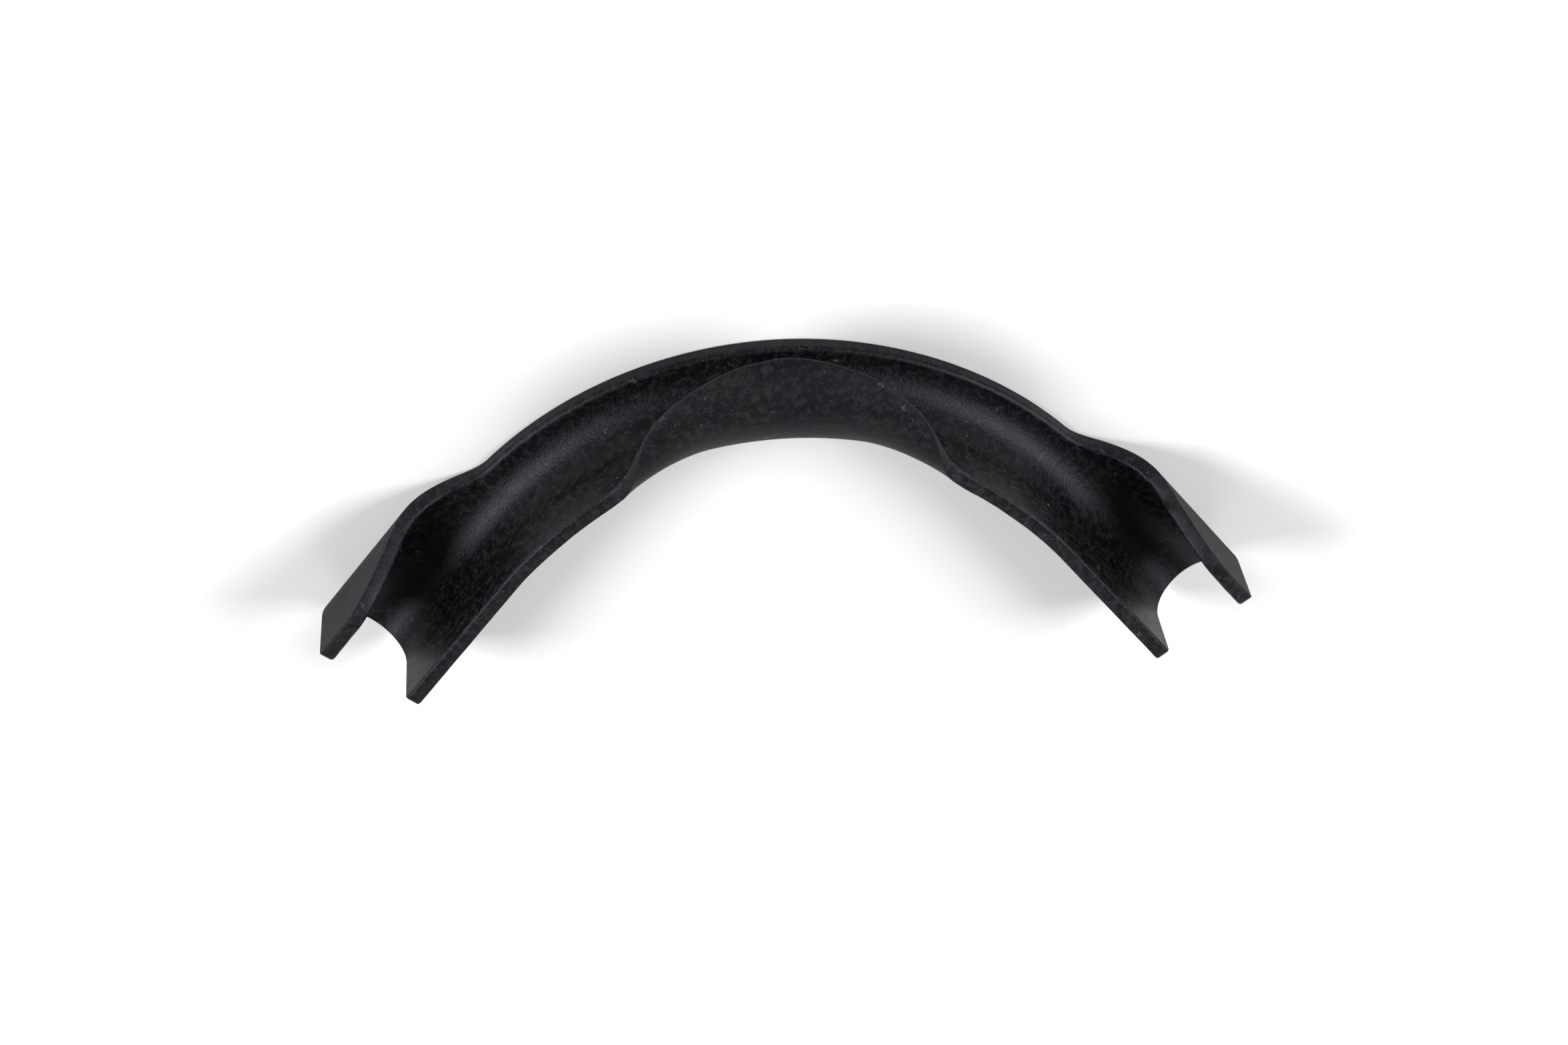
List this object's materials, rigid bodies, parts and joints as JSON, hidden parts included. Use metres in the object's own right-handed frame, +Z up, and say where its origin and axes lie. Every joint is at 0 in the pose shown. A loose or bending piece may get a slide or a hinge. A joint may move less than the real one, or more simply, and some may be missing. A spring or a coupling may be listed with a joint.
{
  "type": "press-over rubber channel pad",
  "caption": "Curved moulded rubber channel with a hooked middle tab and tall end ears, pushed over a bent round rod or spring wire to cushion it.",
  "frame": {"origin": "middle of the part's box in plan, on the surface that it stands on", "axes": "+X along the chord from one leg to the other, +Y towards the outer side of the curve, +Z up, the way both legs open"},
  "size_m": [0.1296, 0.051, 0.0175],
  "materials": {
    "rubber": "matte"
  },
  "bodies": {
    "root": {"rubber_channel": "rubber"}
  },
  "joints": []
}
